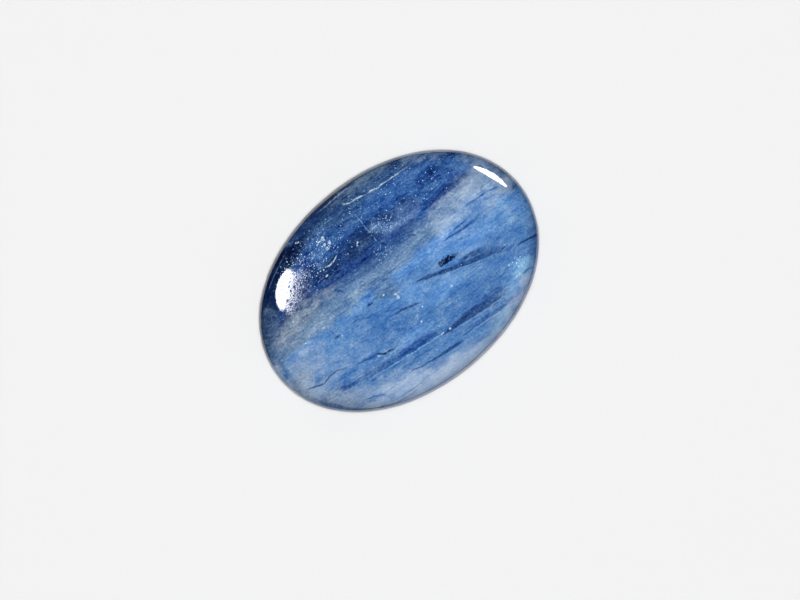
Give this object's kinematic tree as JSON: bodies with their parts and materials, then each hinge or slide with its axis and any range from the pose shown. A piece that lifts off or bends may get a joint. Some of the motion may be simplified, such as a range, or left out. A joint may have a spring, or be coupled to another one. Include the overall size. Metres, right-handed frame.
{
  "type": "kyanite cabochon",
  "caption": "Polished oval kyanite cabochon with a full, low dome, a narrow girdle and a flat bevelled back; translucent banded blue.",
  "frame": {"origin": "middle of the flat back, on the surface that the stone rests on", "axes": "+X along the oval's length, +Y across it, +Z out of the back through the top of the dome"},
  "size_m": [0.018, 0.013, 0.0042],
  "materials": {
    "kyanite": "polished, translucent, blue bands along the length with a grey haze"
  },
  "bodies": {
    "root": {"kyanite_cabochon": "kyanite"}
  },
  "joints": []
}
